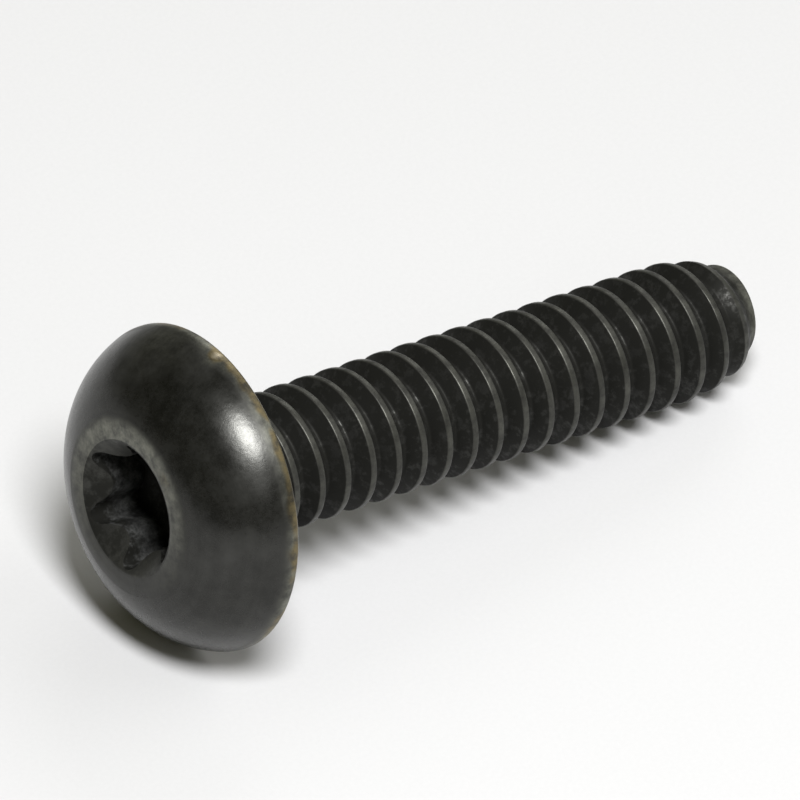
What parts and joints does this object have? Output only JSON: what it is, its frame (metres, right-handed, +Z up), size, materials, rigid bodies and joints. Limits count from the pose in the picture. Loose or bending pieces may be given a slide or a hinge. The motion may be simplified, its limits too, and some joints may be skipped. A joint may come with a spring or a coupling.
{
  "type": "truss head screw",
  "caption": "Machine screw with a wide low truss head, a lobed drive recess, a coarse thread up to the head and a rounded lead-in nose.",
  "frame": {"origin": "on the floor, under the middle of the lying screw's box", "axes": "+X runs level from the head towards the end of the screw, +Z up; the screw's own axis dips by 9.13 degrees towards +X"},
  "size_m": [0.0256, 0.011, 0.011],
  "materials": {
    "black_oxide": "black oxide over steel, satin"
  },
  "bodies": {
    "root": {"screw": "black_oxide"}
  },
  "joints": []
}
